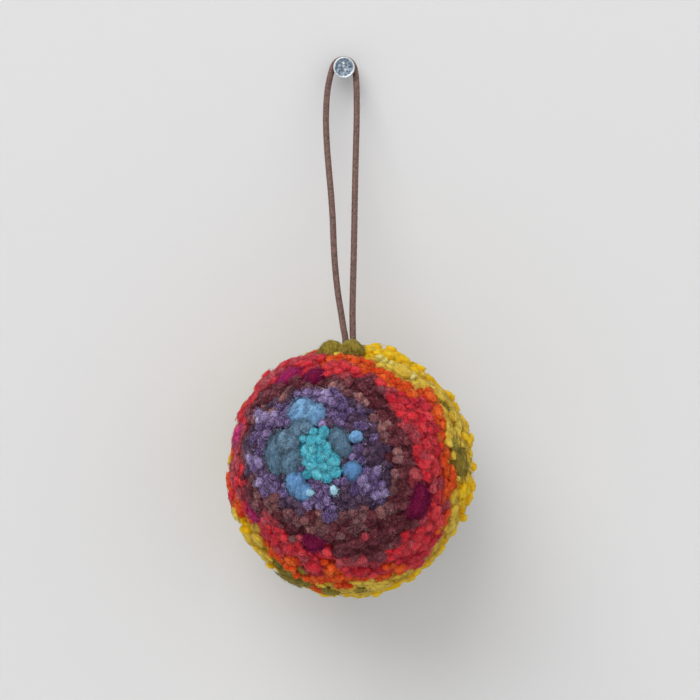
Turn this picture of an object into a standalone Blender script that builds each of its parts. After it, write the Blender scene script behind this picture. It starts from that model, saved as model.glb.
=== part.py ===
"""Yarn pom pom on a loop of waxed cord, hung over a nail.

Metres, +Z up. The origin is where the nail's axis meets the wall. The wall is
the plane y = 0 and the room is on its -Y side, so +X is to the right of someone
who looks at the pom pom. The ball rests its back against the wall, and its own
axis leans with the cord, which runs from the nail to the ball's middle.
"""
import math
import random

import bmesh
import bpy
from mathutils import Vector

MM = 0.001
CLEARANCE = 0.3 * MM            # between solids that touch on the real thing

# Nail: a galvanised clout nail, driven level into the wall
NAIL_LENGTH = 40 * MM
NAIL_STANDS_OUT = 8 * MM        # the head's front face to the wall
SHANK_RADIUS = 1.6 * MM
HEAD_RADIUS = 3.4 * MM
HEAD_THICKNESS = 1.1 * MM
HEAD_ROUNDING = 0.35 * MM
POINT_LENGTH = 5 * MM
POINT_RADIUS = 0.3 * MM
NAIL_SIDES = 32

# Ball: cut yarn, trimmed a little out of round
BALL_CENTRE = Vector((2.2, -39.0, -126.3)) * MM
DEPTH_RADIUS = 38.4 * MM        # towards the room and towards the wall
TRIM_STEP = 30                  # degrees between the radii below
# Radii of the outline that faces the room, in mm, anticlockwise from +X
TRIM_RADII = (38.6, 38.4, 37.8, 39.4, 39.1, 38.5, 38.2, 38.6, 39.4, 39.2, 38.2, 38.0)

# Locks of yarn: LOCKS_A_SIDE by LOCKS_A_SIDE on each side of a cube blown up to a
# ball, less the one whose place the cord comes out of
LOCKS_A_SIDE = 7
LOCK_ANGLE = math.pi / 2 / LOCKS_A_SIDE
ROOT_SHARE = 0.79               # the fused middle's radius, as a share of the ball's
SHOULDER_SHARE = 0.945
CROWN_SHARE = 0.985
CROWN_WIDTH = 0.6               # the crown's width, as a share of the lock's
ROOT_GAP = 0.9 * MM             # between neighbouring locks, where they leave the middle
LENGTH_SPREAD = 0.018           # uneven cutting, as a share of the radius
CROSSING_SHIFT = 0.2            # uneven width, as a share of a lock's width
CROWN_SHIFT = 0.7 * MM
CUTTING_SEED = 5

# Cord: the loop's centre line from the ball up its left strand, over the nail and
# down its right strand, as seen from the room
CORD_RADIUS = 1.0 * MM
CORD_ON_NAIL_Y = -4.0 * MM
CORD_ROUTE_XZ = (
    (0.48, -86.7), (-0.11, -83.0), (-0.9, -78.0), (-1.9, -71.7), (-2.7, -64.2),
    (-3.2, -56.6), (-3.5, -49.0), (-4.0, -41.5), (-4.7, -33.6), (-5.35, -25.8),
    (-5.7, -18.0), (-5.6, -11.5), (-5.2, -6.9), (-4.65, -3.7), (-4.0, -1.0),
    (-3.2, 1.15), (-1.95, 2.47), (-0.15, 2.95), (1.65, 2.47), (2.9, 1.15),
    (3.55, -1.0), (3.9, -4.2), (4.05, -9.6), (4.0, -18.0), (3.8, -25.8),
    (3.6, -33.6), (3.4, -42.6), (3.25, -52.1), (3.05, -61.6), (2.85, -69.8),
    (2.7, -77.3), (2.75, -83.0), (2.85, -86.7),
)
STRANDS_APART = 2.4 * MM        # centre to centre, where they go into the ball
SAMPLES_A_SPAN = 2

YARN_BANDS = (                  # outermost angle from the middle of the pattern, colour
    ("turquoise", 22, (0.05, 0.32, 0.44)),
    ("purple", 47, (0.13, 0.08, 0.26)),
    ("maroon", 61, (0.16, 0.03, 0.06)),
    ("red", 78, (0.55, 0.02, 0.04)),
    ("orange", 86, (0.78, 0.12, 0.02)),
    ("yellow", 112, (0.85, 0.55, 0.01)),
    ("olive", 180, (0.32, 0.27, 0.04)),
)
PATTERN_MIDDLE = Vector((-0.25, -0.96, 0.12)).normalized()


def remove_start_objects():
    for item in list(bpy.data.objects):
        bpy.data.objects.remove(item, do_unlink=True)


def make_material(name, colour, roughness, metallic=0.0):
    material = bpy.data.materials.new(name)
    material.use_nodes = True
    shader = material.node_tree.nodes["Principled BSDF"]
    shader.inputs["Base Color"].default_value = (*colour, 1.0)
    shader.inputs["Roughness"].default_value = roughness
    shader.inputs["Metallic"].default_value = metallic
    return material


def add_object(name, data, materials):
    item = bpy.data.objects.new(name, data)
    bpy.context.scene.collection.objects.link(item)
    for material in materials:
        data.materials.append(material)
    return item


def hang_axis():
    """The way the cord pulls: from the ball's middle to where the cord crosses the nail."""
    return (Vector((BALL_CENTRE.x, CORD_ON_NAIL_Y, 0.0)) - BALL_CENTRE).normalized()


def trim_radius(direction):
    """The ball's radius along a direction: its outline's, eased to a round front and back."""
    turn = math.degrees(math.atan2(direction.z, direction.x)) % 360 / TRIM_STEP
    row = int(turn)
    share = turn - row
    this_radius = TRIM_RADII[row % len(TRIM_RADII)] * MM
    next_radius = TRIM_RADII[(row + 1) % len(TRIM_RADII)] * MM
    outline = this_radius + (next_radius - this_radius) * share
    facing_outline = direction.x ** 2 + direction.z ** 2
    return DEPTH_RADIUS + (outline - DEPTH_RADIUS) * facing_outline


def make_ball_middle(rng):
    """The fused middle: a ball of square cells, uneven but for the cell that the cord leaves by."""
    mesh = bmesh.new()
    bmesh.ops.create_cube(mesh, size=2.0)
    bmesh.ops.subdivide_edges(mesh, edges=mesh.edges[:], cuts=LOCKS_A_SIDE - 1, use_grid_fill=True)
    for vertex in mesh.verts:
        direction = Vector([math.tan(part * math.pi / 4) for part in vertex.co]).normalized()
        if direction.angle(Vector((0, 0, 1))) > LOCK_ANGLE:
            shift = Vector([rng.uniform(-1, 1) for _ in range(3)]) * LOCK_ANGLE * CROSSING_SHIFT
            direction = (direction + shift).normalized()
        vertex.co = direction
    upright = Vector((0, 0, 1)).rotation_difference(hang_axis()).to_matrix()
    bmesh.ops.transform(mesh, matrix=upright.to_4x4(), verts=mesh.verts)
    for vertex in mesh.verts:
        vertex.co = vertex.co * trim_radius(vertex.co) * ROOT_SHARE
    return mesh


def raise_ring(mesh, face, middle, radius, width):
    """Extrude one face, and set its corners on a radius, drawn in about a middle direction."""
    raised = bmesh.ops.extrude_discrete_faces(mesh, faces=[face])["faces"][0]
    for vertex in raised.verts:
        direction = vertex.co.normalized()
        vertex.co = (middle + (direction - middle) * width).normalized() * radius
    return raised


def grow_lock(mesh, face, rng):
    """One lock: straight sides up to its shoulder, then a crown that rounds off to its tip."""
    middle = face.calc_center_median().normalized()
    radius = trim_radius(middle) * (1 + rng.uniform(-LENGTH_SPREAD, LENGTH_SPREAD))
    shoulder = raise_ring(mesh, face, middle, radius * SHOULDER_SHARE, 1.0)
    crown = raise_ring(mesh, shoulder, middle, radius * CROWN_SHARE, CROWN_WIDTH)
    shift = Vector([rng.uniform(-CROWN_SHIFT, CROWN_SHIFT) for _ in range(3)])
    bmesh.ops.translate(mesh, verts=crown.verts[:], vec=shift - middle * shift.dot(middle))
    tip = bmesh.ops.poke(mesh, faces=[crown])["verts"][0]
    tip.co = tip.co.normalized() * radius


def paint_bands(mesh):
    """Give each face its yarn's band, by its angle from the middle of the pattern."""
    for face in mesh.faces:
        angle = math.degrees(face.calc_center_median().angle(PATTERN_MIDDLE))
        face.material_index = next(i for i, band in enumerate(YARN_BANDS) if angle <= band[1])


def make_yarn_ball():
    """Locks of cut yarn that stand apart, on a middle where their roots are tied."""
    rng = random.Random(CUTTING_SEED)
    mesh = make_ball_middle(rng)
    cells = mesh.faces[:]
    exit_cell = max(cells, key=lambda face: face.calc_center_median().normalized().dot(hang_axis()))
    bmesh.ops.inset_individual(mesh, faces=cells, thickness=ROOT_GAP / 2, use_even_offset=True)
    for cell in cells:
        if cell != exit_cell:
            grow_lock(mesh, cell, rng)
    paint_bands(mesh)
    bmesh.ops.recalc_face_normals(mesh, faces=mesh.faces)
    data = bpy.data.meshes.new("yarn_ball")
    mesh.to_mesh(data)
    mesh.free()
    yarns = [make_material("yarn_" + name, colour, 0.95) for name, _, colour in YARN_BANDS]
    add_object("yarn_ball", data, yarns).location = BALL_CENTRE


def cord_depth(z):
    """Where the cord is at a height, on its straight slant from the nail to the ball's middle."""
    fall = min(z, 0.0) / BALL_CENTRE.z
    return CORD_ON_NAIL_Y + (BALL_CENTRE.y - CORD_ON_NAIL_Y) * fall


def cord_route():
    """The route's points, with an end on either side of the ball's axis, down at its middle."""
    seen = [Vector((x * MM, cord_depth(z * MM), z * MM)) for x, z in CORD_ROUTE_XZ]
    pit_floor = ROOT_SHARE * trim_radius(hang_axis()) * math.cos(LOCK_ANGLE / math.sqrt(2))
    root = BALL_CENTRE + hang_axis() * (pit_floor + CLEARANCE)
    aside = Vector((STRANDS_APART / 2, 0, 0))
    return [root - aside, *seen, root + aside]


def smooth_through(points, samples):
    """A Catmull-Rom curve through the points, read off at even steps of each span."""
    ends = [points[0] * 2 - points[1], *points, points[-1] * 2 - points[-2]]
    curve = []
    for before, start, end, after in zip(ends, ends[1:], ends[2:], ends[3:]):
        for step in range(samples):
            t = step / samples
            curve.append(0.5 * (2 * start + (end - before) * t
                                + (2 * before - 5 * start + 4 * end - after) * t ** 2
                                + (3 * start - before - 3 * end + after) * t ** 3))
    return [*curve, points[-1]]


def make_hanging_cord():
    """The loop of waxed cord, a plain round tube along its route."""
    data = bpy.data.curves.new("hanging_cord", "CURVE")
    data.dimensions = "3D"
    data.bevel_depth = CORD_RADIUS
    data.bevel_resolution = 2
    data.use_fill_caps = True
    points = smooth_through(cord_route(), SAMPLES_A_SPAN)
    spline = data.splines.new("POLY")
    spline.points.add(len(points) - 1)
    for spline_point, point in zip(spline.points, points):
        spline_point.co = (*point, 1.0)
    add_object("hanging_cord", data, [make_material("waxed_cord", (0.13, 0.06, 0.05), 0.6)])


def make_nail():
    """The nail, turned about its axis from its head's front face to its point in the wall."""
    head_front = -NAIL_STANDS_OUT
    head_back = head_front + HEAD_THICKNESS
    tip = head_front + NAIL_LENGTH
    profile = (                 # distance from the axis, place along +Y
        (HEAD_RADIUS - HEAD_ROUNDING, head_front),
        (HEAD_RADIUS, head_front + HEAD_ROUNDING),
        (HEAD_RADIUS, head_back),
        (SHANK_RADIUS, head_back),
        (SHANK_RADIUS, tip - POINT_LENGTH),
        (POINT_RADIUS, tip),
    )
    mesh = bmesh.new()
    rings = []
    for radius, place in profile:
        turns = [math.tau * side / NAIL_SIDES for side in range(NAIL_SIDES)]
        rings.append([mesh.verts.new((radius * math.cos(a), place, radius * math.sin(a))) for a in turns])
    for ring, next_ring in zip(rings, rings[1:]):
        for side in range(NAIL_SIDES):
            after = (side + 1) % NAIL_SIDES
            mesh.faces.new((ring[side], ring[after], next_ring[after], next_ring[side]))
    mesh.faces.new(rings[0])
    mesh.faces.new(rings[-1])
    bmesh.ops.recalc_face_normals(mesh, faces=mesh.faces)
    data = bpy.data.meshes.new("nail")
    mesh.to_mesh(data)
    mesh.free()
    data.shade_smooth()
    data.set_sharp_from_angle(angle=math.radians(40))
    add_object("nail", data, [make_material("zinc", (0.42, 0.46, 0.5), 0.45, metallic=0.8)])


remove_start_objects()
make_yarn_ball()
make_hanging_cord()
make_nail()
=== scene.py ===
"""The looks of a yarn pom pom on a loop of waxed cord, hung over a nail.

The ball is made as a maker makes it: yarns and wool rovings wound in rings of
colour, cut, and trimmed round. Each cut end is a felted dome of its own, squeezed
in between its neighbours, with loose fibres on it.
"""
import math
from collections import namedtuple

import bpy
import numpy as np
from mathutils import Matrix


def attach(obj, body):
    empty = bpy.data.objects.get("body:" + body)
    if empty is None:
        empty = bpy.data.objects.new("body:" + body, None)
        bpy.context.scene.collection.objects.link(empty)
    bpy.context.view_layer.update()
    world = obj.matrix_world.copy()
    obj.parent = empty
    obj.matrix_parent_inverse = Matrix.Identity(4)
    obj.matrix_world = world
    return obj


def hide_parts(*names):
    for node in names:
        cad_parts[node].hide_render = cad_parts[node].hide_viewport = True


MM = 0.001
TINY = 1e-9                     # keeps a direction straight up or down from having no side
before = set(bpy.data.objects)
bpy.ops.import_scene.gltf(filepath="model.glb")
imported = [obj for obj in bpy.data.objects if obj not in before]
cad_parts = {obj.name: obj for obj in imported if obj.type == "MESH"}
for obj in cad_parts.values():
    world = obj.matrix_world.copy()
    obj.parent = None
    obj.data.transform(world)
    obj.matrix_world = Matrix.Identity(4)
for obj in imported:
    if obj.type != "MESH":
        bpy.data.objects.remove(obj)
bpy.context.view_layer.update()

# ================================================================ places and sizes
FRAME_WIDTH = 224.7 * MM        # what the camera takes in, at the wall
CAMERA_PLACE = np.array((1.907, -800.0, -89.78)) * MM
SENSOR = 36.0                   # the camera's, in its own millimetres
WALL_Y = 0.6 * MM

BALL_CENTRE = np.array((2.2, -39.0, -126.3)) * MM
DEPTH_RADIUS = 38.4 * MM        # towards the room and towards the wall
TRIM_STEP = 30                  # degrees between the outline's radii
# The trimmed outline's radii in millimetres, anticlockwise from the right
TRIM_RADII = (38.6, 38.4, 37.8, 39.4, 39.1, 38.5, 38.2, 38.6, 39.4, 39.2, 38.2, 38.0)

CORD_DIAMETER = 2.0 * MM
CORD_ON_NAIL_Y = -4.0 * MM
# The cord as seen from the front, up from the ball, over the nail and down again:
# across and up from the nail's axis, in millimetres
CORD_ROUTE_XZ = (
    (0.48, -86.7), (-0.11, -83.0), (-0.9, -78.0), (-1.9, -71.7), (-2.7, -64.2),
    (-3.2, -56.6), (-3.5, -49.0), (-4.0, -41.5), (-4.7, -33.6), (-5.35, -25.8),
    (-5.7, -18.0), (-5.6, -11.5), (-5.2, -6.9), (-4.65, -3.7), (-4.0, -1.0),
    (-3.2, 1.15), (-1.95, 2.47), (-0.15, 2.95), (1.65, 2.47), (2.9, 1.15),
    (3.55, -1.0), (3.9, -4.2), (4.05, -9.6), (4.0, -18.0), (3.8, -25.8),
    (3.6, -33.6), (3.4, -42.6), (3.25, -52.1), (3.05, -61.6), (2.85, -69.8),
    (2.7, -77.3), (2.75, -83.0), (2.85, -86.7),
)
STRANDS_APART = 2.4 * MM
CORD_ROOT = 30.8 * MM           # from the ball's middle to the strands' ends

HANG_AXIS = np.array((0.0, CORD_ON_NAIL_Y - BALL_CENTRE[1], -BALL_CENTRE[2]))
HANG_AXIS /= np.linalg.norm(HANG_AXIS)


def srgb(red, green, blue):
    """A colour as it looks, 0 to 255, in the renderer's linear light, and opaque."""
    parts = np.array((red, green, blue)) / 255.0
    linear = np.where(parts <= 0.04045, parts / 12.92, ((parts + 0.055) / 1.055) ** 2.4)
    return (*(float(part) for part in linear), 1.0)


def dyed(colour):
    """A wool's own colour, from how it looks among its neighbours, which take light from it."""
    look = srgb(*colour)[:3]
    gain = min(SHADED_BY_NEIGHBOURS, BRIGHTEST_DYE / max(look))
    return (*(part * gain for part in look), 1.0)


def unit(vectors):
    """Vectors with the same directions, each 1 long."""
    return vectors / np.linalg.norm(vectors, axis=-1, keepdims=True)


def even_turns(sides):
    """The angles of even steps round a circle."""
    return np.arange(sides) * math.tau / sides


# ================================================================ yarns
SHADED_BY_NEIGHBOURS = 1.3      # how much lighter a wool is than it looks in the ball
BRIGHTEST_DYE = 0.95
# In millimetres or shares. end: a cut end's radius; dome: its crown's height over its radius;
# uneven: the spread of its sizes; proud: how far it stands out of the ball; ragged: how
# uneven that is; spread: how far it runs into its neighbours; clump: how high its ends clump;
# locks and fibres: how many show on a square millimetre; length: a fibre's; mottle: how
# blotchy its shade is; the three colours are as seen among the others. The painted shade
# deep between the ends and at the fibres' roots goes towards the dark colour
Yarn = namedtuple("Yarn", "slot end dome uneven proud ragged spread clump locks fibres length"
                          " mottle dark mid light")
YARNS = {name: Yarn(*row) for name, *row in (
    ("turquoise", "yarn_turquoise", 1.45, 0.42, 0.2, 0.5, 0.25, 1.2, 0.1, 1.8, 2, 0.7, 0.8,
     (30, 112, 138), (66, 165, 185), (126, 205, 215)),
    ("teal", "yarn_teal", 2.2, 0.3, 0.1, 0.1, 0.2, 1.1, 0, 1.8, 2.5, 0.9, 0.35,
     (50, 76, 94), (78, 107, 130), (120, 148, 168)),
    ("blue", "yarn_blue", 1.8, 0.35, 0.1, 0.7, 0.2, 1.1, 0, 1.8, 2.5, 0.9, 0.3,
     (58, 96, 146), (92, 138, 184), (142, 184, 216)),
    ("aqua", "yarn_blue", 1.1, 0.9, 0.1, 0.8, 0.2, 1, 0, 2, 3, 0.7, 0.5,
     (96, 150, 186), (146, 194, 214), (206, 232, 238)),
    ("purple", "yarn_purple", 1.4, 0.7, 0.25, 0.3, 0.3, 1.1, 0.25, 2.6, 2.5, 0.9, 0.9,
     (32, 20, 48), (88, 64, 112), (170, 148, 194)),
    ("lavender", "yarn_purple", 1.4, 0.7, 0.15, 0.4, 0.3, 1.1, 0.25, 2.2, 2.5, 0.9, 0.9,
     (74, 58, 102), (136, 116, 164), (204, 190, 222)),
    ("plum", "yarn_purple", 1.4, 0.65, 0.2, 0.1, 0.3, 1.15, 0.25, 2.2, 2.5, 0.9, 0.9,
     (28, 18, 32), (66, 46, 70), (122, 96, 120)),
    ("mauve", "yarn_mauve", 1.5, 0.6, 0.2, 0.1, 0.3, 1.15, 0.3, 2.6, 3, 0.9, 0.9,
     (44, 21, 29), (106, 60, 67), (174, 124, 124)),
    ("tan", "yarn_mauve", 1.5, 0.65, 0.15, 0.2, 0.3, 1.1, 0.3, 2, 2.5, 0.9, 0.9,
     (70, 34, 42), (136, 82, 82), (190, 140, 136)),
    ("maroon", "yarn_maroon", 1.12, 0.55, 0.3, -0.1, 0.36, 1.36, 0.65, 2.5, 2.8, 0.9, 0.9,
     (34, 8, 17), (86, 31, 41), (146, 80, 86)),
    ("magenta", "yarn_magenta", 2.2, 0.35, 0.1, 0.1, 0.3, 1.15, 0.2, 2, 3, 0.9, 0.4,
     (108, 4, 50), (156, 18, 80), (206, 70, 128)),
    ("wine", "yarn_magenta", 2.2, 0.35, 0.1, 0.1, 0.3, 1.15, 0.2, 2, 3, 0.9, 0.5,
     (70, 2, 32), (108, 7, 48), (146, 40, 82)),
    ("rose", "yarn_red", 1.2, 0.34, 0.3, 0.1, 0.36, 1.4, 0.75, 2.4, 2.7, 0.9, 0.9,
     (118, 25, 42), (166, 50, 62), (206, 96, 100)),
    ("red", "yarn_red", 1.2, 0.34, 0.3, 0.1, 0.36, 1.4, 0.75, 2.3, 2.7, 0.9, 0.7,
     (150, 14, 34), (212, 36, 52), (244, 92, 92)),
    ("orange", "yarn_orange", 1.35, 0.45, 0.2, 0.3, 0.35, 1.22, 0.5, 1.8, 1.8, 0.8, 0.9,
     (172, 30, 14), (240, 68, 24), (255, 138, 60)),
    ("chartreuse", "yarn_chartreuse", 1.9, 0.34, 0.4, 0, 0.4, 1.3, 0.8, 1.15, 1.3, 0.9, 0.9,
     (148, 112, 26), (213, 173, 52), (238, 210, 90)),
    ("olive", "yarn_olive", 2.1, 0.4, 0.2, 0, 0.3, 1.2, 0.6, 1, 1.2, 1, 0.5,
     (76, 60, 14), (118, 100, 30), (156, 142, 62)),
    ("yellow", "yarn_yellow", 1.15, 0.55, 0.25, 0.3, 0.5, 1.32, 0.7, 0.8, 0.9, 0.7, 0.9,
     (226, 164, 6), (250, 200, 14), (254, 224, 74)),
    ("straw", "yarn_yellow", 0.95, 0.9, 0.1, 0.4, 0.3, 1, 0.5, 0.4, 1, 0.6, 0.9,
     (160, 140, 50), (208, 196, 96), (236, 230, 160)),
)}

# The pattern's middle, as seen, in millimetres across and up from the ball's middle, and
# its rings: the outer edge of each band in degrees from the pattern's middle, at each turn
# anticlockwise from the right
PATTERN_MIDDLE_SEEN = (-8.9, 4.4)
Ring = namedtuple("Ring", "turn turquoise purple plum mauve maroon red orange chartreuse yellow")
RINGS = tuple(Ring(*row) for row in (
    (0, 11, 19, 30, 36, 45, 58, 67, 97, 108),
    (15, 11, 19, 30, 36, 43, 57, 62, 93, 107),
    (30, 12, 20, 30, 37, 39, 64, 69, 98, 108),
    (36, 12, 21, 30, 35, 39, 66, 69, 98, 108),
    (39, 12, 22, 30, 35, 40, 52, 68, 97, 107),
    (45, 12, 23, 30, 34, 42, 47, 61, 96, 106),
    (52, 12, 25, 30, 34, 43, 46, 60, 82, 104),
    (60, 13, 27, 30, 33, 45, 47, 58, 66, 102),
    (66, 13, 27, 31, 34, 46, 50, 53, 63, 102),
    (75, 13, 28, 32, 36, 41, 48, 58, 66, 98),
    (90, 12, 29, 33, 37, 40, 48, 56, 86, 94),
    (97, 12, 30, 34, 38, 41, 50, 57, 86, 94),
    (104, 14, 31, 36, 39, 44, 76, 80, 94, 96),
    (120, 15, 33, 38, 40, 48, 78, 84, 96, 98),
    (135, 15, 38, 43, 46, 55, 79, 86, 96, 99),
    (150, 16, 42, 46, 50, 58, 76, 80, 90, 100),
    (160, 14, 44, 47, 49, 51, 70, 78, 87, 101),
    (180, 12, 46, 49, 50, 51, 66, 76, 84, 102),
    (200, 12, 36, 39, 43, 50, 59, 80, 92, 100),
    (210, 12, 32, 34, 40, 52, 54, 56, 66, 98),
    (225, 13, 27, 33, 37, 46, 58, 60, 74, 99),
    (240, 14, 23, 32, 36, 41, 60, 66, 82, 100),
    (255, 14, 23, 28, 36, 41, 60, 76, 88, 102),
    (270, 14, 23, 28, 37, 46, 60, 72, 92, 104),
    (285, 13, 22, 29, 37, 56, 66, 71, 93, 105),
    (300, 13, 20, 30, 38, 57, 69, 80, 94, 106),
    (304, 13, 21, 31, 38, 57, 82, 86, 95, 107),
    (317, 12, 25, 34, 39, 58, 84, 87, 95, 107),
    (322, 12, 26, 35, 39, 58, 76, 80, 95, 107),
    (330, 11, 28, 37, 39, 57, 72, 77, 97, 109),
    (345, 11, 25, 32, 36, 43, 64, 72, 97, 109),
))
BACK_BANDS = (("chartreuse", 124), ("olive", 181))      # outside the rings, all round
# How far the edges of rings and of strays waver, in degrees, and how long their waves are,
# in the ball's radii
RING_WOBBLE, RING_WAVE = 1.6, 0.25
STRAY_WOBBLE, STRAY_WAVE = 1.0, 0.16
MIXED_IN = {                    # a second yarn in a band, and its share
    "mauve": ("maroon", 0.28),
    "maroon": ("mauve", 0.16),
    "red": ("rose", 0.14),
    "plum": ("purple", 0.2),
    "purple": ("plum", 0.16),
}

# Ends of another yarn among the rings: each yarn's places, from one turn to another and from
# one angle out to another, in degrees. Where two places meet, the later yarn is on top
Stray = namedtuple("Stray", "yarn turn_from turn_to out_from out_to")
STRAYS = tuple(Stray(yarn, *place) for yarn, *places in (
    ("turquoise", (140, 158, 11, 16)),
    ("lavender", (88, 95, 22, 30), (140, 148, 32, 37), (146, 154, 36, 46), (178, 186, 34, 46),
     (200, 206, 31, 38), (322, 333, 20, 25), (340, 350, 22, 27), (325, 334, 28, 34)),
    ("tan", (57, 67, 30, 38), (85, 92, 32, 38), (110, 114, 33, 39), (212, 225, 31, 38),
     (262, 272, 27, 36), (309, 322, 36, 41), (333, 345, 36, 40), (350, 358, 30, 35),
     (5, 13, 30, 35), (24, 33, 30, 35), (126, 132, 36, 43), (140, 146, 38, 44)),
    ("mauve", (247, 259, 28, 37), (280, 287, 30, 36)),
    ("rose", (124, 137, 54, 70), (164, 184, 52, 66), (48, 52, 42, 47), (66, 76, 46, 50),
     (13, 27, 41, 48), (341, 351, 41, 55), (303, 330, 58, 62), (220, 224, 43, 48),
     (231, 235, 42, 47), (241, 248, 40, 45), (276, 290, 51, 57)),
    ("red", (307, 317, 70, 87), (185, 197, 60, 72)),
    ("orange", (39, 43, 60, 68), (73, 87, 50, 60), (88, 102, 48, 58), (200, 206, 56, 76),
     (231, 235, 56, 67), (243, 258, 56, 69), (254, 258, 69, 88), (266, 273, 52, 60),
     (260, 276, 60, 71), (288, 303, 68, 79), (330, 340, 69, 77), (350, 360, 57, 68), (0, 9, 58, 68),
     (10, 16, 56, 61), (20, 29, 59, 67)),
    ("olive", (235, 254, 64, 86), (262, 268, 83, 92), (278, 283, 77, 90), (290, 296, 84, 94),
     (8, 13, 66, 74), (30, 34, 74, 82), (80, 103, 60, 98)),
    ("chartreuse", (317, 322, 79, 95), (57, 72, 54, 66)),
    ("yellow", (64, 81, 66, 98), (12, 18, 80, 100), (24, 27, 84, 100), (35, 39, 86, 100),
     (47, 51, 74, 98), (214, 217, 64, 90), (345, 356, 76, 98), (282, 288, 85, 95)),
    ("straw", (57, 73, 62, 68), (49, 58, 66, 70)),
) for place in places)

# Wide patches of cut roving, and single ends that stand out, by how they are seen. across
# and up are millimetres from the ball's middle as seen from the front; wide and tall are
# the patch's own size, lean its turn anticlockwise in degrees, proud and crown its height
# out of the ball and its rounded part's height, and tone its shade, 0 dark to 1 light
Patch = namedtuple("Patch", "yarn across up wide tall lean proud crown tone")
PATCHES = tuple(Patch(*row) for row in (
    ("teal", -23.6, 5.0, 8.0, 13.5, 8, 0.2, 1.3, 0.5),
    ("teal", -18.7, 2.4, 8.0, 9.0, -20, 0.3, 1.2, 0.55),
    ("teal", -20.0, 8.6, 9.5, 8.0, 30, 0.3, 1.2, 1.0),
    ("teal", -15.6, 12.8, 9.0, 5.4, 14, 0.2, 1.0, 0.8),
    ("teal", -3.4, 8.7, 6.0, 10.5, 28, 0.2, 1.2, 0.5),
    ("blue", -15.2, 18.4, 9.5, 8.6, 14, 0.7, 2.0, 0.95),
    ("blue", -11.4, 17.2, 7.6, 7.4, -35, 0.6, 1.8, 0.95),
    ("blue", -17.4, -4.0, 6.6, 8.4, -10, 0.5, 1.4, 0.25),
    ("blue", -15.0, -6.6, 6.6, 6.0, -30, 0.7, 1.5, 0.3),
    ("blue", 0.4, -0.2, 6.2, 5.8, 0, 0.5, 1.4, 0.0),
    ("blue", 1.5, 10.0, 4.4, 3.8, 20, 1.3, 1.4, 0.7),
    ("aqua", -12.5, -6.9, 2.6, 2.2, 0, 0.9, 0.9, 0.4),
    ("aqua", -5.2, -6.3, 2.2, 3.2, 15, 0.9, 0.9, 0.6),
    ("magenta", -18.9, 28.6, 9.0, 7.6, 15, 0.4, 1.6, 0.15),
    ("wine", -11.3, 28.9, 8.0, 6.5, 10, 0.2, 1.4, 0.3),
    ("magenta", -34.9, 11.0, 9.6, 9.0, 0, 0.7, 1.8, 1.0),
    ("wine", 20.9, -9.9, 9.0, 13.0, -10, 0.1, 1.5, 0.5),
    ("wine", -11.6, -22.5, 8.0, 7.0, 10, 0.0, 1.3, 0.5),
    ("magenta", -30.2, -13.9, 4.0, 7.0, 30, 0.1, 1.0, 0.4),
    ("red", -11.6, -29.6, 7.6, 8.2, 0, 0.7, 2.6, 0.45),
    ("red", -18.2, -24.2, 6.6, 5.6, 0, 0.6, 1.8, 0.6),
    ("rose", 4.3, -20.6, 3.0, 3.0, 0, 0.4, 1.1, 0.3),
    ("rose", 4.0, -28.2, 2.6, 2.6, 0, 0.6, 1.1, 0.5),
    ("rose", 12.0, 24.2, 4.2, 1.9, -5, 0.6, 0.8, 0.7),
    ("orange", -18.9, -28.8, 2.8, 2.9, 0, 1.1, 1.4, 0.6),
    ("orange", -16.2, -31.0, 2.8, 2.8, 0, 0.9, 1.3, 0.4),
    ("orange", -13.4, -32.3, 3.0, 2.6, 0, 0.9, 1.3, 0.7),
    ("orange", -5.8, -29.4, 2.9, 2.9, 0, 1.2, 1.4, 0.7),
    ("orange", -3.3, -32.2, 3.0, 2.8, 0, 0.9, 1.3, 0.6),
    ("olive", -6.0, 35.8, 8.6, 9.2, 0, 2.7, 3.5, 0.6),
    ("olive", 0.2, 35.9, 8.2, 9.2, 0, 2.6, 3.2, 0.75),
    ("olive", 34.3, 2.0, 12.0, 11.0, 0, 0.4, 1.8, 0.45),
    ("olive", -18.4, -32.3, 12.0, 8.0, 30, 0.2, 1.6, 0.45),
))
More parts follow.
